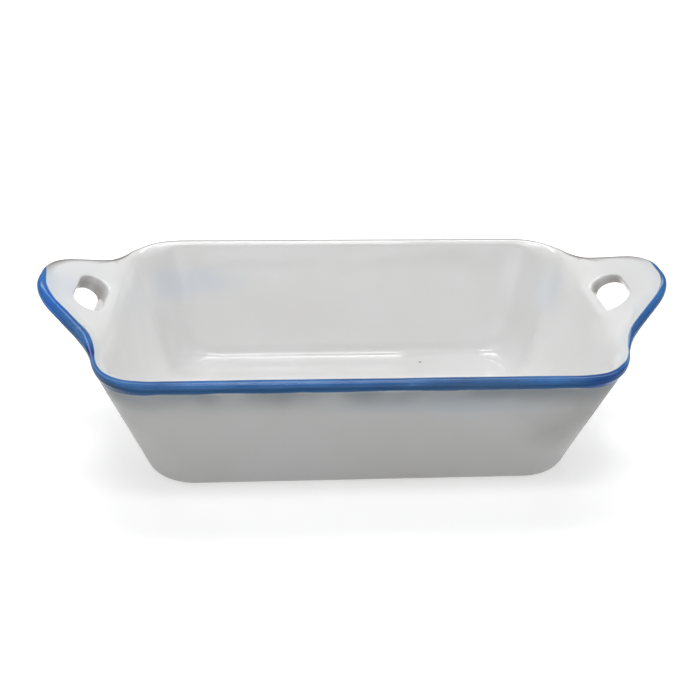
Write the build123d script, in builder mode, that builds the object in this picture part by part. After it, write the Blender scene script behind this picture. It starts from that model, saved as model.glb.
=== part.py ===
"""Stoneware loaf pan with two pierced handles, glazed white, with a blue band round its rim.

Units are millimetres. +Z is up, +X runs along the pan to the right-hand handle, and the origin
is the middle of the foot, on the surface that the pan stands on.

The clay is shaped first, as a tub, two handles that rise from its rim, and a bare foot. Glaze
covers the rest in four coats: inside, outside, under the base, and the blue band. Each coat is
the space between the finished outside of the pan and the same shape drawn in by one coat.
"""
import os
from math import atan2, cos, hypot, sin, tan

from build123d import *

# Driving dimensions of the finished pan
overall_length = 301.0  # from one handle tip to the other
rim_width = 153.0  # across the outside of the rolled rim
rim_height = 68.4  # from the table to the top of the level rim
handle_tip_height = 86.4
foot_height = 1.0
glaze_thickness = 0.45

# Tub: straight walls that lean outwards, with rounded corners
base_length = 205.0
base_width = 115.0
base_corner_radius = 26.0
base_edge_radius = 4.0
wall_top_length = 239.6
wall_top_width = 151.0
wall_top_corner_radius = 28.0
wall_thickness = 5.5
floor_thickness = 5.5
cavity_floor_corner_radius = 20.0
cavity_top_corner_radius = 24.0
cavity_floor_fillet = 17.0

# Rim: a rolled edge that stands out a little past the walls and runs on round the handles
rim_thickness = 5.6
rim_edge_radius = 2.6
inner_edge_radius = 2.4
shoulder_x = 112.5  # where the rim starts to turn in towards a handle
shoulder_radius = 28.0
neck_x = 122.4
neck_half_width = 43.8
neck_radius = 50.0
tip_half_width = 15.4
tip_radius = 30.0

# Handles: the rim plate bends upwards at each end and is pierced by a rounded finger hole
rise_start_x = 115.5
rise_bend_radius = 14.0
handle_root_x = 119.0
hole_inner_reach = 6.9  # from the hole's centre to its inner side
hole_outer_reach = 7.4
hole_centre_x = 126.1
hole_inner_half_length = 15.8
hole_outer_half_length = 14.6
hole_inner_corner_radius = 5.0
hole_outer_corner_radius = 8.0
hole_edge_radius = 1.6

# Foot: a bare ring of clay under the base
foot_setback = 3.5
foot_width = 5.0
foot_edge_radius = 0.5

# Blue band: where the glaze changes colour
band_inset = 3.4  # from the outside of the rim in to the upper edge of the band
band_overrun = 0.2  # down the wall from under the rim
glaze_margin = 5.0

# Worked out from the dimensions above
tip_x = overall_length / 2
wall_top_height = rim_height - rim_thickness / 2
wall_rise = wall_top_height - foot_height
lean_x = (wall_top_length - base_length) / 2 / wall_rise
lean_y = (wall_top_width - base_width) / 2 / wall_rise
floor_height = foot_height + floor_thickness
rise_angle = atan2(handle_tip_height - rim_height, tip_x - rise_start_x)
clear = 30.0  # how far cutting shapes run past the pan


def tub_block(inset):
    """The tub's outside as a solid block, drawn in by an inset."""
    narrower_x = 2 * inset * hypot(1, lean_x)
    narrower_y = 2 * inset * hypot(1, lean_y)
    with BuildPart() as block:
        with BuildSketch(Plane.XY.offset(foot_height + inset)):
            RectangleRounded(
                base_length + 2 * inset * lean_x - narrower_x,
                base_width + 2 * inset * lean_y - narrower_y,
                base_corner_radius - inset,
            )
        with BuildSketch(Plane.XY.offset(wall_top_height)):
            RectangleRounded(
                wall_top_length - narrower_x,
                wall_top_width - narrower_y,
                wall_top_corner_radius - inset,
            )
        loft()
        fillet(block.edges().group_by(Axis.Z)[0], base_edge_radius - inset)
    return block.part


def cavity(growth):
    """The space inside the tub, made larger all round by a growth, and open at the top."""
    top_height = rim_height + clear
    wider_x = 2 * (growth - wall_thickness) * hypot(1, lean_x)
    wider_y = 2 * (growth - wall_thickness) * hypot(1, lean_y)
    corner_lean = (cavity_top_corner_radius - cavity_floor_corner_radius) / (rim_height - floor_height)
    with BuildPart() as space:
        for height in (floor_height - growth, top_height):
            with BuildSketch(Plane.XY.offset(height)):
                RectangleRounded(
                    base_length + 2 * lean_x * (height - foot_height) + wider_x,
                    base_width + 2 * lean_y * (height - foot_height) + wider_y,
                    cavity_floor_corner_radius + corner_lean * (height - floor_height) + growth,
                )
        loft()
        fillet(space.edges().group_by(Axis.Z)[0], cavity_floor_fillet + growth)
    return space.part


def rim_outline(inset):
    """Plan of the rim and both handles, drawn in by an inset."""
    front_right = [(shoulder_x, -rim_width / 2), (neck_x, -neck_half_width), (tip_x, -tip_half_width)]
    back_right = [(x, -y) for x, y in reversed(front_right)]
    left_side = [(-x, -y) for x, y in front_right + back_right]
    end_radii = [shoulder_radius, neck_radius, tip_radius, tip_radius, neck_radius, shoulder_radius]
    with BuildSketch() as outline:
        with BuildLine():
            FilletPolyline(*front_right, *back_right, *left_side, radius=end_radii * 2, close=True)
        make_face()
        if inset > 0:
            offset(amount=-inset)
    return outline.sketch


def rise_line(depth):
    """Side view of a line that lies a depth below the top of the rim and of both handles."""
    bend_x = rise_start_x + depth * tan(rise_angle / 2)
    end_x = tip_x + clear
    end_height = rim_height - depth + (end_x - bend_x) * tan(rise_angle)
    level = rim_height - depth
    return [(-end_x, end_height), (-bend_x, level), (bend_x, level), (end_x, end_height)]


def rim_layer(upper_depth, lower_depth):
    """The layer between two depths below the top of the rim, running past the pan all round."""
    with BuildPart() as layer:
        with BuildSketch(Plane.XZ):
            with BuildLine():
                upper = FilletPolyline(*rise_line(upper_depth), radius=rise_bend_radius + upper_depth)
                lower = FilletPolyline(*rise_line(lower_depth), radius=rise_bend_radius + lower_depth)
                Line(upper @ 0, lower @ 0)
                Line(upper @ 1, lower @ 1)
            make_face()
        extrude(amount=rim_width / 2 + clear, both=True)
    return layer.part


def rim_prism(inset):
    """An upright prism on the rim's plan, drawn in by an inset."""
    with BuildPart() as prism:
        with BuildSketch():
            add(rim_outline(inset))
        extrude(amount=handle_tip_height + clear)
    return prism.part


def rim_slab(inset):
    """The rolled rim and both handles as one unpierced plate, drawn in by an inset."""
    with BuildPart() as slab:
        add(rim_layer(inset, rim_thickness - inset))
        add(rim_prism(inset), mode=Mode.INTERSECT)
        sides = slab.faces().filter_by(lambda face: abs(face.normal_at().Z) < 0.001)
        fillet(sides.edges().filter_by(Axis.Z, reverse=True), rim_edge_radius - inset)
    return slab.part


def hole_plane(side):
    """A plane on top of one handle at its finger hole, with local X pointing down to the tub."""
    height = rim_height + (hole_centre_x - rise_start_x) * tan(rise_angle)
    return Plane(
        origin=(side * hole_centre_x, 0, height),
        x_dir=(-side * cos(rise_angle), 0, -sin(rise_angle)),
        z_dir=(-side * sin(rise_angle), 0, cos(rise_angle)),
    )


def pan_form(inset):
    """The whole pan in one piece without its foot, drawn in all over by an inset."""
    corners = [
        (hole_inner_reach, hole_inner_half_length),
        (hole_inner_reach, -hole_inner_half_length),
        (-hole_outer_reach, -hole_outer_half_length),
        (-hole_outer_reach, hole_outer_half_length),
    ]
    inner_radii = [hole_inner_corner_radius] * 2
    outer_radii = [hole_outer_corner_radius] * 2
    with BuildPart() as form:
        add(tub_block(inset))
        add(rim_slab(inset))
        add(cavity(inset), mode=Mode.SUBTRACT)
        inner_edges = form.edges(Select.LAST).filter_by(
            lambda edge: edge.bounding_box().min.Z > rim_height - 1
        )
        fillet(inner_edges, inner_edge_radius - inset)
        for side in (-1, 1):
            with BuildSketch(hole_plane(side)):
                with BuildLine():
                    FilletPolyline(*corners, radius=inner_radii + outer_radii, close=True)
                make_face()
                if inset > 0:
                    offset(amount=inset)
            extrude(amount=2 * rim_thickness, both=True, mode=Mode.SUBTRACT)
            hole_axis = Axis((0, 0, 0), hole_plane(side).z_dir)
            fillet(form.edges(Select.LAST).filter_by(hole_axis, reverse=True), hole_edge_radius - inset)
    return form.part


def base_prism(setback):
    """An upright prism under the base, set back from its edge, as high as the foot and one coat."""
    with BuildPart() as prism:
        with BuildSketch():
            RectangleRounded(
                base_length - 2 * setback, base_width - 2 * setback, base_corner_radius - setback
            )
        extrude(amount=foot_height + glaze_thickness)
    return prism.part


# The finished outside of the pan, and the clay under its glaze
finished_form = pan_form(0)
clay_form = pan_form(glaze_thickness)

# Clay: the tub between the two handle roots
with BuildPart() as tub:
    add(clay_form)
    split(bisect_by=Plane.YZ.offset(handle_root_x), keep=Keep.BOTTOM)
    split(bisect_by=Plane.YZ.offset(-handle_root_x), keep=Keep.TOP)
tub.part.label = "tub"

# Clay: the handles, which join the tub at their roots
with BuildPart() as right_handle:
    add(clay_form)
    split(bisect_by=Plane.YZ.offset(handle_root_x), keep=Keep.TOP)
right_handle.part.label = "right_handle"

with BuildPart() as left_handle:
    add(clay_form)
    split(bisect_by=Plane.YZ.offset(-handle_root_x), keep=Keep.BOTTOM)
left_handle.part.label = "left_handle"

# Clay: the bare ring that the pan stands on
with BuildPart() as foot_ring:
    add(base_prism(foot_setback))
    add(base_prism(foot_setback + foot_width), mode=Mode.SUBTRACT)
    fillet(foot_ring.faces().sort_by(Axis.Z)[0].edges(), foot_edge_radius)
foot_ring.part.label = "foot_ring"

# All the glaze together, still without gaps for the foot
with BuildPart() as whole_glaze:
    add(finished_form)
    add(clay_form, mode=Mode.SUBTRACT)

# The outer half of the rolled rim and of the handles' edges, where the glaze is blue
with BuildPart() as banded_side:
    add(rim_layer(-glaze_margin, rim_thickness + band_overrun))
    add(rim_prism(band_inset), mode=Mode.SUBTRACT)

# Everything above the middle of the walls, of the rim and of the handles
with BuildPart() as inner_side:
    add(cavity(wall_thickness / 2))
    add(rim_layer(-glaze_margin, rim_thickness / 2))

# Glaze: white inside the tub and on top of the handles
with BuildPart() as inner_glaze:
    add(whole_glaze.part)
    add(inner_side.part, mode=Mode.INTERSECT)
    add(banded_side.part, mode=Mode.SUBTRACT)
inner_glaze.part.label = "inner_glaze"

# Glaze: white outside the tub and under the handles
with BuildPart() as outer_glaze:
    add(whole_glaze.part)
    add(inner_side.part, mode=Mode.SUBTRACT)
    add(banded_side.part, mode=Mode.SUBTRACT)
    add(base_prism(foot_setback), mode=Mode.SUBTRACT)
outer_glaze.part.label = "outer_glaze"

# Glaze: white under the base, inside the foot
with BuildPart() as base_glaze:
    add(whole_glaze.part)
    add(base_prism(foot_setback + foot_width), mode=Mode.INTERSECT)
base_glaze.part.label = "base_glaze"

# Glaze: the blue band
with BuildPart() as rim_band:
    add(whole_glaze.part)
    add(banded_side.part, mode=Mode.INTERSECT)
rim_band.part.label = "rim_band"

os.makedirs("parts", exist_ok=True)
for piece in (tub, left_handle, right_handle, foot_ring, inner_glaze, outer_glaze, base_glaze, rim_band):
    export_step(piece.part, f"parts/{piece.part.label}.step")
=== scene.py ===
"""Looks of the glazed loaf pan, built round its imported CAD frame. Lengths are in metres.

One smooth skin is worked out for the whole pan: rings of points run from the floor of the tub up
the inside, over the rim or along a handle, and down the outside to the foot. Each coat of glaze
is a patch of that skin made as thick as the CAD glaze, and the clay lies underneath.
"""
from math import atan2, cos, pi, radians, sin, tan

import bmesh
import bpy
import numpy as np
from mathutils import Matrix, Vector, noise


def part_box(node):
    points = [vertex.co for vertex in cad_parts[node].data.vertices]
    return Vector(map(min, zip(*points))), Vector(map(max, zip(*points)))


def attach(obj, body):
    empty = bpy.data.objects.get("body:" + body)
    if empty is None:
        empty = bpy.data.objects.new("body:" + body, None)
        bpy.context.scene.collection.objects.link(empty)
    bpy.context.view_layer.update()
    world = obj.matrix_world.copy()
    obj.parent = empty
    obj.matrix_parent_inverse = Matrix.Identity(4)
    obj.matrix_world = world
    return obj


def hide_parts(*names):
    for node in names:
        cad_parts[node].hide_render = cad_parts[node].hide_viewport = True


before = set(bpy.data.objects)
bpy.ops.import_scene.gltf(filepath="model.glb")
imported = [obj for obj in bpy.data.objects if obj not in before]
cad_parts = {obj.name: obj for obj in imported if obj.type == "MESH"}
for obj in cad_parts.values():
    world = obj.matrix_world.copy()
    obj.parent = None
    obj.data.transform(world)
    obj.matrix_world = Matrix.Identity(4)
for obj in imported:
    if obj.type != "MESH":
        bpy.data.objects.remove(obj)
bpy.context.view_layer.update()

MM = 0.001

# Sizes read from the CAD frame
band_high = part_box("rim_band")[1]
foot_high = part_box("foot_ring")[1]
base_low, base_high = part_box("base_glaze")
handle_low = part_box("right_handle")[0]
tip_x = band_high.x
rim_half_width = band_high.y
base_height = base_low.z
coat = base_high.z - base_low.z
handle_root_x = handle_low.x
MIDDLE_REACH = 80 * MM  # the middle of the pan, well away from the handles


def highest_near_middle(node):
    """The top of a CAD node where it crosses the middle of the pan."""
    points = np.array([vertex.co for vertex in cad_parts[node].data.vertices])
    return float(points[np.abs(points[:, 0]) < MIDDLE_REACH, 2].max())


rim_height = highest_near_middle("inner_glaze")

# Shape of the tub
FOOT_SETBACK = 3.5 * MM
FOOT_EDGE = 0.5 * MM
BASE_CORNER = 26 * MM
BASE_EDGE = 4 * MM
WALL_TOP_HALF = (119.8 * MM, 75.5 * MM)
WALL_TOP_CORNER = 28 * MM
WALL_THICKNESS = 5.74 * MM  # measured level, through the leaning wall
FLOOR_HEIGHT = 6.5 * MM
FLOOR_CORNER = 20 * MM
CAVITY_CORNER = 24 * MM
FLOOR_FILLET = (13 * MM, 24 * MM)  # along the floor and up the wall
FLAT_SHARE = 0.9  # how much of the floor's length and width its middle patch takes
base_half = (foot_high.x + FOOT_SETBACK, foot_high.y + FOOT_SETBACK)
foot_inner_half = (base_high.x, base_high.y)
foot_inner_corner = BASE_CORNER - (base_half[0] - foot_inner_half[0])

# Shape of the rim and the handles
RIM_THICKNESS = 5.6 * MM
BEAD = 2.65 * MM
SHOULDER = (112.5 * MM, 28 * MM)  # distance along the pan, and radius
NECK = (122.4 * MM, 43.8 * MM, 50 * MM)  # distance along, distance across, and radius
TIP = (15.4 * MM, 30 * MM)  # distance across, and radius
RISE_START = 115.5 * MM
RISE_ANGLE = atan2(18, 35)
RISE_BEND = 14 * MM
RISE_RUN = 60 * MM  # long enough to pass the tip
SIDE_LIP = 3.2 * MM  # inner edge of the rim along the sides
END_LIP = (9 * MM, 3 * MM, 10 * MM)  # down an end wall, out to a finger hole, and beside it
SIDE_EDGE = 3.3 * MM  # height of the rim's outer edge along the sides
COVE = (1.6 * MM, 8 * MM)  # how far the hollow under the rim runs out and down
SIDE_COVE_DEPTH = 6.9 * MM  # from the top of the rim down to the hollow
HANDLE_COVE_RISE = 1.2 * MM  # how far the hollow lies above the underside of a handle

# The blue paint
BAND_EDGE = -2.0 * MM  # from the top of the bead out to the start of the blue
BAND_DROP = 5.5 * MM  # how much lower the blue starts along the back
TIP_BAND_DROP = (2.2 * MM, 1.6 * MM)  # and round the tips of the right and left handles
CORNER_PAINT = 1.8 * MM  # how much further down the blue runs at the front corners
SIDE_BAND_SHARE = 0.9  # how much of the gap down to the hollow is blue along the sides
HANDLE_BAND_OVERRUN = 1.2 * MM  # how far the blue runs on under a handle
KNEE_GAP = 0.3 * MM  # between the last rows before the blue
GREY_ON_ROLL = (-1.6 * MM, 0.6 * MM)  # where the painted shade along the back edge begins and where it ends, past and before the start of the blue
GREY_AT_BAND = (1.5 * MM, -0.5 * MM)  # and where it ends, past and before the start of the blue

# Where one shape gives way to another, measured along the pan from its middle
HANDLE_SPAN = (116 * MM, 127 * MM)  # the rim widens into a handle
SLOPE_SPAN = (112 * MM, 119 * MM)  # the rim turns uphill
LIP_SPAN = (94 * MM, 112 * MM)  # the inner edge of a side becomes that of an end
TIP_PAINT_SPAN = (111 * MM, 120 * MM)  # the blue drops towards a tip
LEFT_TIP_SPAN = (118 * MM, 130 * MM)  # the paint of the back comes further round on the left
CORNER_PAINT_SPAN = (88 * MM, 110 * MM)  # the blue runs further down towards a corner

# And measured across it, towards the back
BACK_SPAN = (2 * MM, 26 * MM)  # the paint of the front becomes that of the back
LEFT_TIP_SHIFT = 9 * MM  # how much further forward it does so on the left handle
LEFT_DROP_SPAN = (-26 * MM, 0)  # the blue drops on the left handle
HOLE_SIDE_SPAN = (14 * MM, 28 * MM)  # the end's inner edge widens beside a finger hole

# Finger holes, measured in the plane of the handle
HOLE_CENTRE = 126.1 * MM
HOLE_TOP_EDGE = 1.2 * MM
HOLE_LOWER_EDGE = 1.0 * MM
HOLE_EDGE_ROWS = 5
HOLE_LEAN_SPAN = (7 * MM, 14 * MM)  # where the lean ends, and over what length it fades
HOLE_SHADE = 0.6  # how dark the painted shade on the wall of a hole is
HOLE_SHADE_DEPTH = 2.5 * MM
HOLE_FROM_BAND = 30 * MM  # stands for the wall's distance from the blue band
FAR_FROM_BAND = 100 * MM  # and for that of the floor and the base

# How far hand-finished clay strays from true, in broad waves and in narrow ones
WAVES_PER_METRE = (22, 75)
WAVER_DEPTHS = (0.16 * MM, 0.05 * MM)
WAVER_START = (3 * MM, 12 * MM)  # above the base, where it begins and where it is in full

# Columns in a quarter of each ring: along a side, round a corner, and across an end
SIDE_COLUMNS = 30
CORNER_COLUMNS = 20
END_COLUMNS = 34
QUARTER = SIDE_COLUMNS + CORNER_COLUMNS + END_COLUMNS
COLUMNS = 4 * QUARTER
HOLE_COLUMNS = 12  # half the columns that a finger hole takes
HOLE_ROWS = 9
HOLE_REACH = 2.0  # how far round a hole the points move, as a multiple of its own size
CURVE_PARTS = 24  # straight parts that a rounded corner is made of
FULLEST = 0.999  # how much of a straight run its two corners may take up


class RoundedPath:
    """A line through corner points, with every inner corner rounded.

    A corner has a radius, or a pair of lengths before and after it over which it bends freely.
    marks holds the lengths along the line at which each rounded corner starts and ends.
    """

    def __init__(self, corners, radii):
        corners = [np.array(corner, float) for corner in corners]
        runs = [np.linalg.norm(b - a) for a, b in zip(corners, corners[1:])]
        ways = [(b - a) / run for a, b, run in zip(corners, corners[1:], runs)]
        turns = [np.arccos(np.clip(a @ b, -1, 1)) for a, b in zip(ways, ways[1:])]
        trims = []
        for radius, turn in zip(radii, turns):
            trim = radius if isinstance(radius, tuple) else [radius * tan(turn / 2)] * 2
            trims.append(list(trim))
        for k, run in enumerate(runs):
            wanted = (trims[k - 1][1] if k > 0 else 0) + (trims[k][0] if k < len(trims) else 0)
            if wanted > FULLEST * run:
                if k > 0:
                    trims[k - 1][1] *= FULLEST * run / wanted
                if k < len(trims):
                    trims[k][0] *= FULLEST * run / wanted
        points = [corners[0]]
        lengths = [0.0]
        self.marks = []
        for k, corner in enumerate(corners[1:-1]):
            way_in, way_out, turn = ways[k], ways[k + 1], turns[k]
            before, after = trims[k]
            if not isinstance(radii[k], tuple):
                before = after = min(before, after)
            start = corner - way_in * before
            lengths.append(lengths[-1] + np.linalg.norm(start - points[-1]))
            points.append(start)
            mark_start = lengths[-1]
            if turn > 1e-6 and before > 0:
                for part in np.linspace(0, 1, CURVE_PARTS + 1)[1:]:
                    if isinstance(radii[k], tuple):
                        pull = (1 - part) ** 2
                        point = corner - pull * before * way_in + part**2 * after * way_out
                    else:
                        radius = before / tan(turn / 2)
                        side = (way_out - way_in * cos(turn)) / sin(turn)
                        angle = turn * part
                        point = start + radius * (sin(angle) * way_in + (1 - cos(angle)) * side)
                    lengths.append(lengths[-1] + np.linalg.norm(point - points[-1]))
                    points.append(point)
            self.marks.append((mark_start, lengths[-1]))
        lengths.append(lengths[-1] + np.linalg.norm(corners[-1] - points[-1]))
        points.append(corners[-1])
        self.points = np.array(points)
        self.lengths = np.array(lengths)
        self.total = lengths[-1]

    def at(self, lengths):
        """Points at the given lengths along the line."""
        axes = [np.interp(lengths, self.lengths, axis) for axis in self.points.T]
        return np.stack(axes, axis=-1)


def smooth_step(low, high, value):
    """0 before low, 1 past high, and a smooth rise between."""
    part = np.clip((value - low) / (high - low), 0, 1)
    return part * part * (3 - 2 * part)


rise_line = RoundedPath(
    [
        (0, rim_height),
        (RISE_START, rim_height),
        (RISE_START + RISE_RUN, rim_height + RISE_RUN * tan(RISE_ANGLE)),
    ],
    [RISE_BEND],
)


def rise(x):
    """Height of the top of the rim and handles at a distance along the pan."""
    return np.interp(np.abs(x), rise_line.points[:, 0], rise_line.points[:, 1])


def ring_from_quarter(path):
    """Points round a ring from the middle of its back, given the quarter up to the right end."""
    first, last = path.marks[0]
    lengths = np.concatenate([
        np.linspace(0, first, SIDE_COLUMNS + 1)[:-1],
        np.linspace(first, last, CORNER_COLUMNS + 1)[:-1],
        np.linspace(last, path.total, END_COLUMNS + 1),
    ])
    back_right = path.at(lengths)
    front_right = back_right[::-1] * (1, -1)
    return np.concatenate([back_right[:-1], front_right[:-1], -back_right[:-1], -front_right[:-1]])


def box_ring(half_x, half_y, radius):
    """A ring on a rounded rectangle."""
    return ring_from_quarter(RoundedPath([(0, half_y), (half_x, half_y), (half_x, 0)], [radius]))


def rim_ring():
    """The ring on the outermost line of the rim and the handles."""
    corners = [
        (0, rim_half_width),
        (SHOULDER[0], rim_half_width),
        (NECK[0], NECK[1]),
        (tip_x, TIP[0]),
        (tip_x, 0),
    ]
    return ring_from_quarter(RoundedPath(corners, [SHOULDER[1], NECK[2], TIP[1]]))


def at_height(ring, height):
    """A flat ring given a height, which may be one number or one for each point."""
    return np.column_stack([ring, np.broadcast_to(height, len(ring))])


def wall_ring(height, thickness, corner_low, corner_high, low):
    """A level ring on the leaning wall, a thickness in from its outside."""
    part = (height - base_height) / (rim_height - RIM_THICKNESS / 2 - base_height)
    halves = [b + (t - b) * part - thickness for b, t in zip(base_half, WALL_TOP_HALF)]
    radius = corner_low + (corner_high - corner_low) * (height - low) / (rim_height - low)
    return box_ring(*halves, radius)


def outer_wall(height):
    """A ring on the outside of the wall."""
    return at_height(wall_ring(height, 0, BASE_CORNER, WALL_TOP_CORNER, base_height), height)


def inner_wall(height):
    """A ring on the inside of the wall."""
    return wall_ring(height, WALL_THICKNESS, FLOOR_CORNER, CAVITY_CORNER, FLOOR_HEIGHT)


def spread(breaks, counts):
    """Lengths that split each stretch between breaks into its count of equal rows."""
    parts = [np.linspace(a, b, n + 1)[:-1] for a, b, n in zip(breaks, breaks[1:], counts)]
    return np.concatenate(parts + [[breaks[-1]]])


# Rows between the marks of a column
FLOOR_ROWS, FILLET_ROWS, WALL_ROWS = 3, 8, 18
LIP_ROWS, TOP_ROWS, ROLL_ROWS = 7, 15, 6
BAND_ROWS = 26
UNDER_ROWS, COVE_ROWS = 17, 5
BASE_EDGE_ROWS, SETBACK_ROWS, FOOT_ROWS = 6, 2, 2
FOOT_PROFILE_ROWS = [2, 5, 6, 5, 2]  # round the section of the foot ring
first_top_row = FLOOR_ROWS + FILLET_ROWS + WALL_ROWS + LIP_ROWS
band_first_row = first_top_row + TOP_ROWS + ROLL_ROWS
band_last_row = band_first_row + BAND_ROWS
foot_row = band_last_row + UNDER_ROWS + COVE_ROWS + WALL_ROWS + BASE_EDGE_ROWS + SETBACK_ROWS
TOP_HOLE_ROW = first_top_row + 1  # the inner side of a finger hole in the top of a handle
UNDER_HOLE_ROW = band_last_row + 6  # its outer side in the underside


def skin_rings():
    """Every ring of the skin.

    With the rings come how far each point lies outside the edges of the blue band, and how much
    of the painted shade along the back edge, a grey-brown line, it shows.
    """
    outline = rim_ring()
    along = np.abs(outline[:, 0])
    handle = smooth_step(*HANDLE_SPAN, along)
    slope = smooth_step(*SLOPE_SPAN, along) * (1 / cos(RISE_ANGLE) - 1)
    left_tip = smooth_step(*LEFT_TIP_SPAN, -outline[:, 0])
    back = smooth_step(*BACK_SPAN, outline[:, 1] + LEFT_TIP_SHIFT * left_tip)
    tip_drop = [
        reach * smooth_step(*TIP_PAINT_SPAN, side * outline[:, 0]) * (1 - back)
        for side, reach in zip((1, -1), TIP_BAND_DROP)
    ]
    left_drop = tip_drop[1] * smooth_step(*LEFT_DROP_SPAN, outline[:, 1])
    drop = BAND_DROP * back + tip_drop[0] + left_drop
    corner = smooth_step(*CORNER_PAINT_SPAN, along) * (1 - handle) * (1 - back)
    crest = rise(outline[:, 0])
    lip = inner_wall(rim_height)
    end = smooth_step(*LIP_SPAN, np.abs(lip[:, 0]))
    beside_hole = smooth_step(*HOLE_SIDE_SPAN, np.abs(lip[:, 1]))
    edge_drop = SIDE_EDGE + handle * (RIM_THICKNESS * (1 + slope) - SIDE_EDGE)
    side_cove = outer_wall(rim_height - SIDE_COVE_DEPTH)
    handle_cove = outer_wall(rim_height - RIM_THICKNESS + HANDLE_COVE_RISE)
    cove = side_cove + (handle_cove - side_cove) * handle[:, None]
    corners = np.stack([
        at_height(inner_wall(FLOOR_HEIGHT) * FLAT_SHARE, FLOOR_HEIGHT),
        at_height(inner_wall(FLOOR_HEIGHT), FLOOR_HEIGHT),
        at_height(lip, rise(lip[:, 0])),
        at_height(outline, crest),
        at_height(outline, crest - edge_drop),
        cove,
        outer_wall(base_height),
        at_height(box_ring(foot_high.x, foot_high.y, BASE_CORNER - FOOT_SETBACK), base_height),
        at_height(box_ring(*foot_inner_half, foot_inner_corner), base_height),
    ], axis=1)
    rings, outside, painted_shade = [], [], []
    for column in range(COLUMNS):
        lip_out = END_LIP[1] + (END_LIP[2] - END_LIP[1]) * beside_hole[column]
        lip_bend = tuple(
            SIDE_LIP + (reach - SIDE_LIP) * end[column] for reach in (END_LIP[0], lip_out)
        )
        radii = [FLOOR_FILLET, lip_bend, BEAD, BEAD, COVE, BASE_EDGE, 0]
        path = RoundedPath(corners[column], radii)
        fillet, lip_mark, roll, under_roll, cove_mark, base_edge, foot = path.marks
        band_start = roll[0] + BAND_EDGE + drop[column]
        side_reach = SIDE_BAND_SHARE * (cove_mark[0] - under_roll[1])
        handle_reach = min(HANDLE_BAND_OVERRUN, side_reach)
        band_end = under_roll[1] + side_reach + (handle_reach - side_reach) * handle[column]
        knee = min(roll[0], band_start) - KNEE_GAP
        top = [lip_mark[0], min(lip_mark[1], knee - KNEE_GAP), knee, band_start]
        under = [band_end, cove_mark[0], cove_mark[1]]
        top_counts = [LIP_ROWS, TOP_ROWS, ROLL_ROWS]
        under_counts = [UNDER_ROWS, COVE_ROWS]
        even_top = np.linspace(top[0], top[-1], sum(top_counts) + 1)
        even_under = np.linspace(under[0], under[-1], sum(under_counts) + 1)
        top = even_top + (spread(top, top_counts) - even_top) * handle[column]
        under = even_under + (spread(under, under_counts) - even_under) * handle[column]
        lengths = np.concatenate([
            spread([0, *fillet, lip_mark[0]], [FLOOR_ROWS, FILLET_ROWS, WALL_ROWS])[:-1],
            top,
            spread([band_start, band_end], [BAND_ROWS])[1:-1],
            under,
            spread([cove_mark[1], *base_edge, foot[0], path.total],
                   [WALL_ROWS, BASE_EDGE_ROWS, SETBACK_ROWS, FOOT_ROWS])[1:],
        ])
        rings.append(path.at(lengths))
        paint_end = band_end + CORNER_PAINT * corner[column]
        outside.append(np.maximum(band_start - lengths, lengths - paint_end))
        painted_shade.append(
            back[column]
            * smooth_step(*(roll[0] + step for step in GREY_ON_ROLL), lengths)
            * smooth_step(*(band_start + step for step in GREY_AT_BAND), lengths)
        )
    return np.array(rings).swapaxes(0, 1), np.array(outside).T, np.array(painted_shade).T


class FingerHole:
    """A finger hole through the handle on one side, 1 for right and -1 for left.

    Its corners are given in the plane of the handle, out from the centre and across towards the
    back, each with its radius: the inner back corner first, then outwards and round to the front.
    The inner side of the hole leans outwards by lean for each unit of depth.
    """

    def __init__(self, side, thickness, lean, corners):
        self.side = side
        self.thickness = thickness
        self.lean = lean
        if side < 0:
            corners = corners[::-1]
        places = [(out * MM, -side * across * MM) for out, across, _ in corners]
        start = tuple((first + last) / 2 for first, last in zip(places[0], places[-1]))
        radii = [radius * MM for _, _, radius in corners]
        self.line = RoundedPath([start, *places, start], radii)
        self.corners = [(first + last) / 2 for first, last in self.line.marks]

    def length(self, across, out):
        """Length along the hole's line for a place on the edge of a square from -1 to 1."""
        inner_low, outer_low, outer_high, inner_high = self.corners
        share_across = (across + 1) / 2
        share_out = (out + 1) / 2
        if abs(out) >= abs(across):
            if out < 0:
                return inner_low + (inner_high - self.line.total - inner_low) * share_across
            return outer_low + (outer_high - outer_low) * share_across
        if across < 0:
            return inner_low + (outer_low - inner_low) * share_out
        return inner_high + (outer_high - inner_high) * share_out

    def point(self, length, grow, depth):
        """A point on the line, moved out by grow, at a depth below the top of the handle."""
        here, before, after = (
            self.line.at((length + step) % self.line.total) for step in (0, -0.1 * MM, 0.1 * MM)
        )
        way = (after - before) / np.linalg.norm(after - before)
        out, across = here + grow * np.array([way[1], -way[0]])
        lean_end, lean_fade = HOLE_LEAN_SPAN
        out += depth * self.lean * np.clip((lean_end - out) / lean_fade, 0, 1)
        centre = np.array([self.side * HOLE_CENTRE, 0, rise(HOLE_CENTRE)])
        uphill = np.array([self.side * cos(RISE_ANGLE), 0, sin(RISE_ANGLE)])
        down = np.array([self.side * sin(RISE_ANGLE), 0, -cos(RISE_ANGLE)])
        return centre + out * uphill - np.array([0, self.side * across, 0]) + depth * down

    def levels(self):
        """Grow and depth of each level down the wall of the hole, between its two faces."""
        turns = np.linspace(0, pi / 2, HOLE_EDGE_ROWS + 1)[1:]
        upper = [
            (HOLE_TOP_EDGE * (1 - sin(turn)), HOLE_TOP_EDGE * (1 - cos(turn))) for turn in turns
        ]
        lower = [
            (HOLE_LOWER_EDGE * (1 - sin(turn)), self.thickness - HOLE_LOWER_EDGE * (1 - cos(turn)))
            for turn in turns
        ]
        middle = (0, (upper[-1][1] + lower[-1][1]) / 2)
        return upper + [middle] + lower[::-1]


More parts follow.
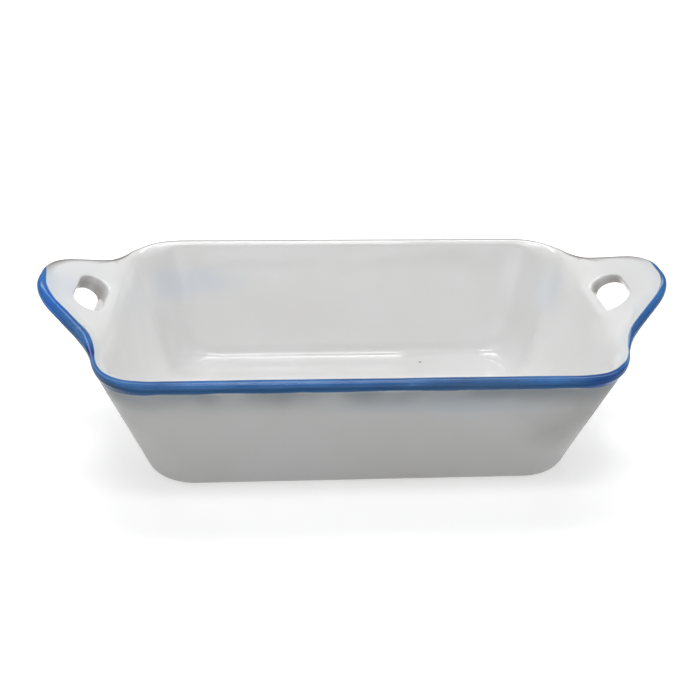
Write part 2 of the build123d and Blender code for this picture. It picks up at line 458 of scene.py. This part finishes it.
FINGER_HOLES = [
    FingerHole(
        1, 6.2 * MM, 0.35, [(-8.4, 13, 8), (7.0, 13, 8.5), (7.0, -16.6, 11.5), (-7.6, -17.3, 2)]
    ),
    FingerHole(
        -1, 8.6 * MM, 0.45, [(-6.5, 13.6, 8), (8.0, 14.4, 6), (7.8, -16.3, 8), (-6.4, -16.0, 6)]
    ),
]


def ring_point(rings, row, column):
    """A point between the rings' points, by its row and column as real numbers."""
    low_row, low_column = int(row // 1), int(column // 1)
    part_row, part_column = row - low_row, column - low_column
    near, far = (
        rings[low_row + step, low_column] * (1 - part_column)
        + rings[low_row + step, low_column + 1] * part_column
        for step in (0, 1)
    )
    return near * (1 - part_row) + far * part_row


def open_hole(rings, hole, first_row, inner_first, grow, depth):
    """Moves the points around a block of rows and columns so that its edge fits a finger hole."""
    centre_column = QUARTER if hole.side > 0 else 3 * QUARTER
    half_rows = HOLE_ROWS / 2
    middle_row = first_row + half_rows
    towards = 1 if inner_first else -1
    still = rings.copy()
    row_reach = HOLE_REACH * half_rows
    column_reach = int(HOLE_REACH * HOLE_COLUMNS)
    for row in range(int(middle_row - row_reach), int(middle_row + row_reach) + 2):
        out = towards * (row - middle_row) / half_rows
        for step in range(-column_reach, column_reach + 1):
            across = step / HOLE_COLUMNS
            span = max(abs(across), abs(out))
            if not 0.999 < span < HOLE_REACH:
                continue
            length = hole.length(across / span, out / span)
            edge_row = middle_row + towards * out / span * half_rows
            edge_column = centre_column + across / span * HOLE_COLUMNS
            move = hole.point(length, grow, depth) - ring_point(still, edge_row, edge_column)
            rings[row, centre_column + step] += move * (HOLE_REACH - span) / (HOLE_REACH - 1)


def hole_loop():
    """Steps round a hole's block as pairs of column step and row step from its inner edge."""
    columns = range(-HOLE_COLUMNS, HOLE_COLUMNS)
    rows = range(HOLE_ROWS)
    loop = [(column, 0) for column in columns]
    loop += [(HOLE_COLUMNS, row) for row in rows]
    loop += [(-column, HOLE_ROWS) for column in columns]
    loop += [(-HOLE_COLUMNS, HOLE_ROWS - row) for row in rows]
    return loop


def cap(ring_points, first_index, columns_of_ring):
    """A flat patch of quads that fills a ring: its new points, and its faces by point index."""
    half_long = SIDE_COLUMNS + CORNER_COLUMNS // 2
    half_short = CORNER_COLUMNS - CORNER_COLUMNS // 2 + END_COLUMNS
    long, short = 2 * half_long, 2 * half_short
    back = [(a - half_long) % COLUMNS for a in range(long + 1)]
    front = [half_long + short + long - a for a in range(long + 1)]
    left = [3 * half_long + short + b for b in range(short)] + [back[0]]
    right = [half_long + short - b for b in range(short + 1)]
    u = np.linspace(0, 1, long + 1)[:, None, None]
    v = np.linspace(0, 1, short + 1)[None, :, None]
    edges = [ring_points[side] for side in (front, back, left, right)]
    grid = (1 - v) * edges[0][:, None] + v * edges[1][:, None]
    grid = grid + (1 - u) * edges[2][None] + u * edges[3][None]
    grid -= (1 - u) * ((1 - v) * edges[0][0] + v * edges[1][0])
    grid -= u * ((1 - v) * edges[0][-1] + v * edges[1][-1])
    index = np.zeros((long + 1, short + 1), int)
    inside = grid[1:-1, 1:-1].reshape(-1, 3)
    index[1:-1, 1:-1] = first_index + np.arange(len(inside)).reshape(long - 1, short - 1)
    index[:, 0] = columns_of_ring[front]
    index[:, -1] = columns_of_ring[back]
    index[0, :] = columns_of_ring[left]
    index[-1, :] = columns_of_ring[right]
    faces = [
        (index[a, b], index[a + 1, b], index[a + 1, b + 1], index[a, b + 1])
        for a in range(long)
        for b in range(short)
    ]
    return inside, faces


class Skin:
    """The outside of the whole glazed pan: points, normals, faces and the coat of each face."""

    def __init__(self):
        rings, outside, painted_shade = skin_rings()
        for hole in FINGER_HOLES:
            open_hole(rings, hole, TOP_HOLE_ROW, True, HOLE_TOP_EDGE, 0)
            open_hole(rings, hole, UNDER_HOLE_ROW, False, HOLE_LOWER_EDGE, hole.thickness)
        self.rows = len(rings)
        self.points = [tuple(point) for point in rings.reshape(-1, 3)]
        self.outside = list(outside.reshape(-1))
        self.painted_shade = list(painted_shade.reshape(-1))
        self.faces = []
        self.coats = []
        self.add_rings()
        self.add_caps(rings)
        for hole in FINGER_HOLES:
            self.add_hole_wall(hole)
        self.points = np.array(self.points)
        self.outside = np.array(self.outside)
        self.painted_shade = np.array(self.painted_shade)
        self.find_normals()
        self.add_hand_made_waver()
        self.find_normals()

    def add_face(self, corners, coat_name):
        self.faces.append(tuple(int(corner) for corner in corners))
        self.coats.append(coat_name)

    def add_rings(self):
        blocks = set()
        for centre in (QUARTER, 3 * QUARTER):
            for row in range(HOLE_ROWS):
                for step in range(-HOLE_COLUMNS, HOLE_COLUMNS):
                    blocks.add((TOP_HOLE_ROW + row, centre + step))
                    blocks.add((UNDER_HOLE_ROW + row, centre + step))
        for row in range(self.rows - 1):
            coat_name = "foot"
            if row < foot_row:
                coat_name = "outer"
            if row < band_last_row:
                coat_name = "band"
            if row < band_first_row:
                coat_name = "inner"
            for column in range(COLUMNS):
                if (row, column) in blocks:
                    continue
                here = row * COLUMNS + column
                beside = row * COLUMNS + (column + 1) % COLUMNS
                self.add_face((here, beside, beside + COLUMNS, here + COLUMNS), coat_name)

    def add_caps(self, rings):
        for row, coat_name in ((0, "inner"), (self.rows - 1, "base")):
            inside, faces = cap(rings[row], len(self.points), np.arange(COLUMNS) + row * COLUMNS)
            self.points += [tuple(point) for point in inside]
            self.outside += [FAR_FROM_BAND] * len(inside)
            self.painted_shade += [0] * len(inside)
            for corners in faces:
                self.add_face(corners if row == 0 else corners[::-1], coat_name)

    def add_hole_wall(self, hole):
        centre = QUARTER if hole.side > 0 else 3 * QUARTER
        loop = hole_loop()
        levels = hole.levels()
        index = [[(TOP_HOLE_ROW + row) * COLUMNS + centre + step for step, row in loop]]
        for grow, depth in levels:
            first = len(self.points)
            # Painted shade, growing deeper down the wall of the hole
            shade = HOLE_SHADE * smooth_step(0, HOLE_SHADE_DEPTH, depth)
            for step, row in loop:
                length = hole.length(step / HOLE_COLUMNS, 2 * row / HOLE_ROWS - 1)
                self.points.append(tuple(hole.point(length, grow, depth)))
                self.outside.append(HOLE_FROM_BAND)
                self.painted_shade.append(shade)
            index.append(list(range(first, first + len(loop))))
        under_row = UNDER_HOLE_ROW + HOLE_ROWS
        index.append([(under_row - row) * COLUMNS + centre + step for step, row in loop])
        for level, (upper, lower) in enumerate(zip(index, index[1:])):
            coat_name = "inner" if level < len(levels) - 1 else "outer"
            for k in range(len(loop)):
                after = (k + 1) % len(loop)
                self.add_face((upper[k], upper[after], lower[after], lower[k]), coat_name)

    def find_normals(self):
        mesh = bpy.data.meshes.new("skin")
        mesh.from_pydata([tuple(point) for point in self.points], [], self.faces)
        normals = np.zeros(3 * len(self.points), np.float32)
        mesh.vertices.foreach_get("normal", normals)
        self.normals = normals.reshape(-1, 3).astype(float)
        bpy.data.meshes.remove(mesh)

    def add_hand_made_waver(self):
        """Draws the skin in a little here and there, as hand-finished clay is never quite true."""
        starts = (base_height + step for step in WAVER_START)
        above_foot = smooth_step(*starts, self.points[:, 2])
        for k, point in enumerate(self.points):
            broad = noise.noise(Vector(point) * WAVES_PER_METRE[0])
            narrow = noise.noise(Vector(point) * WAVES_PER_METRE[1] + Vector((5, 3, 1)))
            depth = WAVER_DEPTHS[0] * (1 + broad) + WAVER_DEPTHS[1] * (1 + narrow)
            self.points[k] -= self.normals[k] * depth * above_foot[k]


def finish_mesh(name, points, faces, loop_normals=None):
    """A smooth-shaded object from points and faces."""
    mesh = bpy.data.meshes.new(name)
    mesh.from_pydata([tuple(point) for point in points], [], faces)
    mesh.polygons.foreach_set("use_smooth", [True] * len(faces))
    if loop_normals is not None:
        mesh.normals_split_custom_set(loop_normals)
    mesh.update()
    piece = bpy.data.objects.new(name, mesh)
    bpy.context.scene.collection.objects.link(piece)
    return piece


def coat_piece(skin, name, coat_name):
    """One coat of glaze: its patch of the skin, the same patch a coat deeper, and its edges."""
    faces = [face for face, coat_of in zip(skin.faces, skin.coats) if coat_of == coat_name]
    used = sorted({corner for face in faces for corner in face})
    new = {old: k for k, old in enumerate(used)}
    outer = [tuple(new[corner] for corner in face) for face in faces]
    count = len(used)
    deeper = [tuple(corner + count for corner in reversed(face)) for face in outer]
    ways = {(a, b) for face in outer for a, b in zip(face, face[1:] + face[:1])}
    open_edges = sorted(way for way in ways if way[::-1] not in ways)
    sides = [(b, a, a + count, b + count) for a, b in open_edges]
    points = np.concatenate([skin.points[used], skin.points[used] - skin.normals[used] * coat])
    normals = np.concatenate([skin.normals[used], -skin.normals[used]])
    loop_normals = [tuple(normals[corner]) for face in outer + deeper for corner in face]
    for side in sides:
        corners = points[list(side)]
        across = np.cross(corners[2] - corners[0], corners[3] - corners[1])
        loop_normals += [tuple(across / max(np.linalg.norm(across), 1e-12))] * 4
    piece = finish_mesh(name, points, outer + deeper + sides, loop_normals)
    for measure, values in (("outside_band", skin.outside), ("painted_shade", skin.painted_shade)):
        attribute = piece.data.attributes.new(measure, "FLOAT", "POINT")
        attribute.data.foreach_set("value", np.tile(values[used], 2).astype(np.float32))
    return piece


def clay_piece(skin, name, cuts):
    """The clay under the glaze, kept on the inner side of each cut, a place and a way along X."""
    piece = finish_mesh(name, skin.points - skin.normals * coat, skin.faces)
    shape = bmesh.new()
    shape.from_mesh(piece.data)
    for place, way in cuts:
        everything = shape.verts[:] + shape.edges[:] + shape.faces[:]
        cut = bmesh.ops.bisect_plane(
            shape, geom=everything, plane_co=(place, 0, 0), plane_no=(way, 0, 0), clear_outer=True
        )
        edges = [item for item in cut["geom_cut"] if isinstance(item, bmesh.types.BMEdge)]
        bmesh.ops.triangle_fill(shape, edges=edges, use_beauty=True)
    bmesh.ops.recalc_face_normals(shape, faces=shape.faces[:])
    shape.to_mesh(piece.data)
    shape.free()
    return piece


def foot_piece(name):
    """The bare ring of clay under the base."""
    top = base_height + coat
    inner_setback = base_half[0] - foot_inner_half[0]
    profile = RoundedPath(
        [(FOOT_SETBACK, top), (FOOT_SETBACK, 0), (inner_setback, 0), (inner_setback, top)],
        [FOOT_EDGE, FOOT_EDGE],
    )
    (first, second), (third, fourth) = profile.marks
    breaks = [0, first, second, third, fourth, profile.total]
    places = profile.at(spread(breaks, FOOT_PROFILE_ROWS))
    rings = [
        at_height(box_ring(base_half[0] - s, base_half[1] - s, BASE_CORNER - s), height)
        for s, height in places
    ]
    faces = []
    for row in range(len(rings)):
        below = (row + 1) % len(rings)
        for column in range(COLUMNS):
            beside = (column + 1) % COLUMNS
            faces.append((
                row * COLUMNS + column,
                row * COLUMNS + beside,
                below * COLUMNS + beside,
                below * COLUMNS + column,
            ))
    return finish_mesh(name, np.concatenate(rings), faces)


class Finish:
    """A material, and short ways to make and join its nodes."""

    def __init__(self, name):
        self.material = bpy.data.materials.new(name)
        self.material.use_nodes = True
        self.tree = self.material.node_tree
        self.shader = self.tree.nodes["Principled BSDF"]
        coordinates = self.add("ShaderNodeTexCoord").node
        self.place = coordinates.outputs["Object"]
        self.facing = coordinates.outputs["Normal"]

    def put(self, socket, value):
        """Joins a socket to a node's output, or sets it to a number or a colour."""
        if isinstance(value, bpy.types.NodeSocket):
            self.tree.links.new(value, socket)
        elif isinstance(value, tuple) and len(value) == 3 and socket.type == "RGBA":
            socket.default_value = (*value, 1)
        else:
            socket.default_value = value

    def add(self, kind, inputs=(), **settings):
        """A new node's first output."""
        node = self.tree.nodes.new(kind)
        for name, value in settings.items():
            setattr(node, name, value)
        for socket, value in dict(inputs).items():
            self.put(node.inputs[socket], value)
        return node.outputs[0]

    def math(self, operation, *values):
        return self.add("ShaderNodeMath", enumerate(values), operation=operation)

    def noise(self, size, detail=2, stretch=(1, 1, 1), seed=0):
        """Noise with features of about this size, made longer along an axis by its stretch."""
        scale = tuple(1 / k for k in stretch)
        where = self.add(
            "ShaderNodeMapping", {"Vector": self.place, "Location": (seed, 0, 0), "Scale": scale}
        )
        return self.add(
            "ShaderNodeTexNoise", {"Vector": where, "Scale": 1 / size, "Detail": detail}
        )

    def ramp(self, value, low, high, at_low=0.0, at_high=1.0):
        """A smooth step that follows a value from low to high."""
        inputs = {0: value, 1: low, 2: high, 3: at_low, 4: at_high}
        return self.add("ShaderNodeMapRange", inputs, interpolation_type="SMOOTHSTEP")

    def mix(self, share, first, second):
        """A colour between two colours."""
        return self.add("ShaderNodeMixRGB", {"Fac": share, "Color1": first, "Color2": second})

    def cloud(self, centre, size, depth, grain):
        """A share that falls from depth to 0 away from a centre in millimetres, unevenly."""
        away = self.add(
            "ShaderNodeMapping",
            {
                "Vector": self.place,
                "Location": tuple(-c / s for c, s in zip(centre, size)),
                "Scale": tuple(1 / (s * MM) for s in size),
            },
        )
        measured = self.add("ShaderNodeVectorMath", {0: away}, operation="LENGTH").node
        distance = measured.outputs["Value"]
        ragged = self.noise(grain, detail=3)
        uneven = self.math("MULTIPLY_ADD", ragged, CLOUD_RAGGEDNESS, distance)
        return self.ramp(uneven, 0.5, 1.5, depth, 0)

    def attribute(self, name):
        """A measure that the mesh holds for each point."""
        return self.add("ShaderNodeAttribute", attribute_name=name).node.outputs["Fac"]

    def swing(self, noise, reach):
        """A length that swings by up to half a reach each way as a noise does."""
        return self.math("MULTIPLY_ADD", noise, reach, -reach / 2)

    def bump(self, height, distance, under=None):
        """Relief from a height, over the relief under it."""
        inputs = {"Height": height, "Distance": distance}
        if under is not None:
            inputs["Normal"] = under
        return self.add("ShaderNodeBump", inputs)

    def shade(self, **inputs):
        """Sets the shader's own inputs, spaces in their names given as underlines."""
        for name, value in inputs.items():
            self.put(self.shader.inputs[name.replace("_", " ")], value)
        return self.material


# Clouds of tone over the white glaze, in millimetres: the centre and half size of each, how deep
# its colour is, and the colour. Inside, the blue clouds are a tint of the glaze and the greys on
# the handle tops are painted shade; every cloud outside is painted shade, the bluish one included.
CLOUD_GRAIN = 26 * MM
CLOUD_RAGGEDNESS = 0.8
INNER_TINTS_AND_PAINTED_SHADE = [
    ((-88, 62, 48), (38, 16, 12), 0.22, (0.5, 0.68, 0.9)),
    ((104, 40, 52), (22, 22, 16), 0.18, (0.5, 0.68, 0.9)),
    ((-98, -46, 25), (20, 20, 24), 0.12, (0.5, 0.68, 0.9)),
    ((-138, -6, 80), (14, 22, 10), 0.2, (0.5, 0.68, 0.9)),
    ((136, 0, 76), (30, 46, 20), 0.45, (0.62, 0.625, 0.63)),
    ((-136, 0, 76), (30, 46, 20), 0.3, (0.62, 0.64, 0.68)),
]
OUTER_PAINTED_SHADE = [
    ((40, -74, 52), (60, 14, 9), 0.2, (0.3, 0.4, 0.5)),
    ((112, -64, 52), (52, 30, 34), 0.55, (0.16, 0.16, 0.155)),
    ((-118, -66, 48), (28, 24, 26), 0.45, (0.22, 0.22, 0.22)),
]
DARK_SPECK = (40.7 * MM, 42 * MM, FLOOR_HEIGHT)

# Marks of the brush in the blue, with the same measures
BRUSH_GRAIN = 3 * MM
BRUSH_MARKS = [
    ((-110, -74, 64), (11, 12, 4), 0.85, (0.045, 0.06, 0.085)),
    ((108, -73, 65), (26, 12, 8), 0.7, (0.006, 0.05, 0.24)),
    ((-120, -50, 68), (5, 7, 6), 0.9, (0.006, 0.02, 0.2)),
    ((-142, -22, 80), (16, 20, 14), 0.8, (0.02, 0.15, 0.55)),
    ((50, -75, 66), (40, 10, 7), 0.6, (0.04, 0.09, 0.19)),
]

# Other colours and measures of the glaze
DEEP_BLUE = (0.024, 0.095, 0.28)
MIDDLE_BLUE = (0.055, 0.18, 0.45)
BRIGHT_BLUE = (0.022, 0.16, 0.5)
WORN_BLUE = (0.17, 0.3, 0.52)
UNDERSIDE_SHADE_BLUE = (0.01, 0.045, 0.11)
SHADED_GREY = (0.21, 0.185, 0.165)  # painted shade along the back edge and in a finger hole
PALE_SPECK = (0.3, 0.24, 0.18)
BLACK_SPECK = (0.15, 0.13, 0.12)
PAINT_EDGE = (-0.55 * MM, 0.35 * MM)  # over what distance blue turns to white
BAND_ROUGHNESS = 0.18
SPECK_SPACING = 34 * MM
BUMPS = (0.06 * MM, 0.005 * MM)  # the swell of the glaze, and its fine dimples


def brushed_blue(finish, patch, faces_up):
    """Hand-brushed blue, with strokes along the rim and painted shade on its lower half."""
    stroke = finish.noise(9 * MM, detail=4, stretch=(4, 2, 1), seed=1)
    blue = finish.mix(finish.ramp(stroke, 0.3, 0.7), DEEP_BLUE, MIDDLE_BLUE)
    blue = finish.mix(finish.ramp(patch, 0.45, 0.7, 0, 0.5), blue, BRIGHT_BLUE)
    bare_strokes = finish.noise(1.3 * MM, stretch=(5, 3, 1), seed=9)
    blue = finish.mix(finish.ramp(bare_strokes, 0.62, 0.75, 0, 0.25), blue, WORN_BLUE)
    # Painted shade: the blue turns darker where it faces down
    blue = finish.mix(finish.ramp(faces_up, -0.1, 0.75, 0.75, 0), blue, UNDERSIDE_SHADE_BLUE)
    for centre, size, depth, colour in BRUSH_MARKS:
        blue = finish.mix(finish.cloud(centre, size, depth, BRUSH_GRAIN), blue, colour)
    return blue


def speckled_white(finish, white, clouds):
    """White glaze with its clouds, its specks, and its painted shade along the back edge and in the
    finger holes.
    """
    for centre, size, depth, colour in clouds:
        white = finish.mix(finish.cloud(centre, size, depth, CLOUD_GRAIN), white, colour)
    # Painted shade: the dark line along the back edge and the grey on the finger-hole walls
    white = finish.mix(finish.attribute("painted_shade"), white, SHADED_GREY)
    cells = finish.add("ShaderNodeTexVoronoi", {"Vector": finish.place, "Scale": 1 / SPECK_SPACING})
    white = finish.mix(finish.ramp(cells, 0.012, 0.02, 0.35, 0), white, PALE_SPECK)
    from_speck = finish.add(
        "ShaderNodeVectorMath", {0: finish.place, 1: DARK_SPECK}, operation="DISTANCE"
    ).node.outputs["Value"]
    speck = finish.ramp(from_speck, 0.5 * MM, 1.1 * MM, 0.75, 0)
    return finish.mix(speck, white, BLACK_SPECK)


def glaze(name, dull, bright, clouds, haze_colour, haze_depth, haze_reach, roughness, specular):
    """Glossy white glaze that turns to hand-brushed blue where a coat meets the band."""
    finish = Finish(name)
    hand = finish.swing(finish.noise(24 * MM, detail=1), 1.6 * MM)
    bristle = finish.swing(finish.noise(2.2 * MM, detail=3, stretch=(3, 3, 1), seed=4), 0.9 * MM)
    edge = finish.math("ADD", finish.math("ADD", finish.attribute("outside_band"), hand), bristle)
    white_share = finish.ramp(edge, *PAINT_EDGE)
    patch = finish.noise(38 * MM, seed=7)
    faces_up = finish.add("ShaderNodeSeparateXYZ", {0: finish.facing}).node.outputs["Z"]
    blue = brushed_blue(finish, patch, faces_up)

    tone = finish.ramp(finish.noise(45 * MM, seed=3), 0.3, 0.7)
    # Near the band the white turns towards haze_colour: a blue tint of the glaze on the inside, and
    # painted shade on the outside and on the band's own white
    near_band = finish.ramp(edge, 0, haze_reach, haze_depth, 0)
    haze = finish.math("MULTIPLY", near_band, finish.ramp(patch, 0.3, 0.6, 0.5, 1))
    white = finish.mix(haze, finish.mix(tone, dull, bright), haze_colour)
    white = speckled_white(finish, white, clouds)

    glossy = finish.ramp(patch, 0.3, 0.7, roughness, 1.5 * roughness)
    shine = finish.ramp(faces_up, -0.2, 0.5, 0.03, 0.3)
    swell = finish.bump(finish.noise(16 * MM, seed=6), BUMPS[0])
    dimple = finish.bump(finish.noise(1.6 * MM, detail=1, seed=8), BUMPS[1], swell)
    return finish.shade(
        Base_Color=finish.mix(white_share, blue, white),
        Roughness=finish.ramp(edge, -MM, MM, BAND_ROUGHNESS, glossy),
        Specular_IOR_Level=finish.ramp(edge, -MM, MM, shine, specular),
        IOR=1.5,
        Normal=dimple,
    )


def bare_clay(name):
    """Dry unglazed stoneware with fine grain."""
    finish = Finish(name)
    body = finish.ramp(finish.noise(14 * MM, detail=4), 0.3, 0.7)
    grain = finish.noise(0.5 * MM, detail=3, seed=5)
    colour = finish.mix(body, (0.62, 0.56, 0.47), (0.72, 0.67, 0.58))
    colour = finish.mix(finish.ramp(grain, 0.6, 0.75, 0, 0.4), colour, (0.35, 0.27, 0.2))
    return finish.shade(Base_Color=colour, Roughness=0.85, Normal=finish.bump(grain, 0.06 * MM))


# The outside and the base are painted shade: a darker copy of the same white glaze. So are the dark
# haze under the band, on the outside and on the band's own white, and the darker lower half of the
# blue. The glaze itself may well be one white all over.
skin = Skin()
inner_white = glaze(
    "white_glaze", (0.835, 0.83, 0.825), (0.86, 0.86, 0.86), INNER_TINTS_AND_PAINTED_SHADE,
    haze_colour=(0.3, 0.42, 0.52), haze_depth=0.3, haze_reach=6 * MM, roughness=0.05, specular=0.5,
)
# Painted shade: this darker copy of the white glaze covers the outside and the base
outer_white_painted_shade = glaze(
    "outer_glaze_painted_shade", (0.415, 0.413, 0.407), (0.44, 0.44, 0.44), OUTER_PAINTED_SHADE,
    haze_colour=(0.12, 0.15, 0.17), haze_depth=0.8, haze_reach=17 * MM, roughness=0.3, specular=0.2,
)
blue_glaze = glaze(
    "blue_glaze", (0.78, 0.78, 0.775), (0.82, 0.82, 0.82), OUTER_PAINTED_SHADE,
    haze_colour=(0.11, 0.155, 0.185), haze_depth=0.9, haze_reach=6 * MM, roughness=0.05,
    specular=0.5,
)
stoneware = bare_clay("stoneware")

tub_cuts = [(handle_root_x, 1), (-handle_root_x, -1)]
right_cuts = [(handle_root_x, -1)]
left_cuts = [(-handle_root_x, 1)]
made = [
    (coat_piece(skin, "inner_coat_of_glaze", "inner"), "inner_glaze", "white_glaze", inner_white),
    (coat_piece(skin, "outer_coat_of_glaze", "outer"), "outer_glaze", "white_glaze", outer_white_painted_shade),
    (coat_piece(skin, "base_coat_of_glaze", "base"), "base_glaze", "white_glaze", outer_white_painted_shade),
    (coat_piece(skin, "painted_rim_coat", "band"), "rim_band", "blue_glaze", blue_glaze),
    (clay_piece(skin, "clay_tub", tub_cuts), "tub", "stoneware", stoneware),
    (clay_piece(skin, "clay_right_handle", right_cuts), "right_handle", "stoneware", stoneware),
    (clay_piece(skin, "clay_left_handle", left_cuts), "left_handle", "stoneware", stoneware),
    (foot_piece("clay_foot"), "foot_ring", "stoneware", stoneware),
]
for piece, node, slot_name, material in made:
    piece.data.materials.append(material)
    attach(piece, "root")
    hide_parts(node)

# Floor
FLOOR_REACH = 3.0
FLOOR_GLOW = 0.42
floor_mesh = bpy.data.meshes.new("floor")
floor_signs = [(-1, -1), (1, -1), (1, 1), (-1, 1)]
floor_corners = [(FLOOR_REACH * x, FLOOR_REACH * y, 0) for x, y in floor_signs]
floor_mesh.from_pydata(floor_corners, [], [(0, 1, 2, 3)])
floor = bpy.data.objects.new("floor", floor_mesh)
bpy.context.scene.collection.objects.link(floor)
floor_finish = Finish("pale_floor")
floor_tone = floor_finish.mix(floor_finish.noise(0.4), (0.9, 0.9, 0.9), (0.93, 0.93, 0.93))
floor.data.materials.append(
    floor_finish.shade(
        Base_Color=floor_tone,
        Roughness=0.9,
        Emission_Color=(1.0, 1.0, 1.0),
        Emission_Strength=FLOOR_GLOW,
    )
)


def softbox(name, size, power, place, towards):
    """A soft rectangular light aimed at a point."""
    light = bpy.data.lights.new(name, "AREA")
    light.shape = "RECTANGLE"
    light.size, light.size_y = size
    light.energy = power
    lamp = bpy.data.objects.new(name, light)
    lamp.location = place
    lamp.rotation_euler = (Vector(towards) - Vector(place)).to_track_quat("-Z", "Y").to_euler()
    bpy.context.scene.collection.objects.link(lamp)


# Lights: wide ones for the tones, and small ones above whose reflections draw the bright lines
PAN_MIDDLE = (0, 0, 0.03)
PAN_FLOOR = (0, 0.04, 0.01)
softbox("wide_softbox", (1.3, 0.35), 1.6, (-0.02, -0.36, 0.92), PAN_MIDDLE)
softbox("low_softbox", (1.2, 0.4), 1.85, (-0.1, -1.15, 0.4), PAN_MIDDLE)
softbox("front_softbox", (0.34, 0.12), 1.1, (-0.02, -0.24, 0.92), PAN_FLOOR)
softbox("front_strip", (0.03, 0.12), 0.09, (0.31, -0.24, 0.92), PAN_FLOOR)
softbox("top_softbox", (0.34, 0.24), 2.0, (-0.02, 0.22, 0.95), PAN_FLOOR)
softbox("top_strip", (0.03, 0.24), 0.17, (0.31, 0.22, 0.95), PAN_FLOOR)
softbox("left_fill", (0.7, 0.7), 0.8, (-0.9, -0.1, 0.7), PAN_MIDDLE)
softbox("right_fill", (0.7, 0.7), 0.5, (0.9, -0.1, 0.7), PAN_MIDDLE)
softbox("backdrop_light", (4.0, 0.8), 60.0, (0, 2.0, 2.4), (0, 1.8, 0))

SKY_STRENGTH = 0.16
world = bpy.data.worlds.new("studio")
world.use_nodes = True
bpy.context.scene.world = world
sky = world.node_tree.nodes["Background"]
sky.inputs["Color"].default_value = (1, 1, 1, 1)
sky.inputs["Strength"].default_value = SKY_STRENGTH
bpy.context.scene.view_settings.view_transform = "Standard"

# Camera: in front, looking down into the pan, turned and tilted a little
PITCH, YAW, ROLL = radians(30.311), radians(4.342), radians(-1.495)
CAMERA_PLACE = Vector((-32.12, -387.27, 266.66)) * MM
SENSOR_WIDTH = 36  # this and the focal length are in millimetres
FOCAL_LENGTH = 45.61
level_right = Vector((cos(YAW), -sin(YAW), 0))
forward = Vector((sin(YAW) * cos(PITCH), cos(YAW) * cos(PITCH), -sin(PITCH)))
level_up = level_right.cross(forward)
right = cos(ROLL) * level_right - sin(ROLL) * level_up
up = sin(ROLL) * level_right + cos(ROLL) * level_up
lens = bpy.data.cameras.new("camera")
lens.sensor_width = SENSOR_WIDTH
lens.lens = FOCAL_LENGTH
camera = bpy.data.objects.new("camera", lens)
turn = Matrix((right, up, -forward)).transposed().to_4x4()
camera.matrix_world = Matrix.Translation(CAMERA_PLACE) @ turn
bpy.context.scene.collection.objects.link(camera)
bpy.context.scene.camera = camera
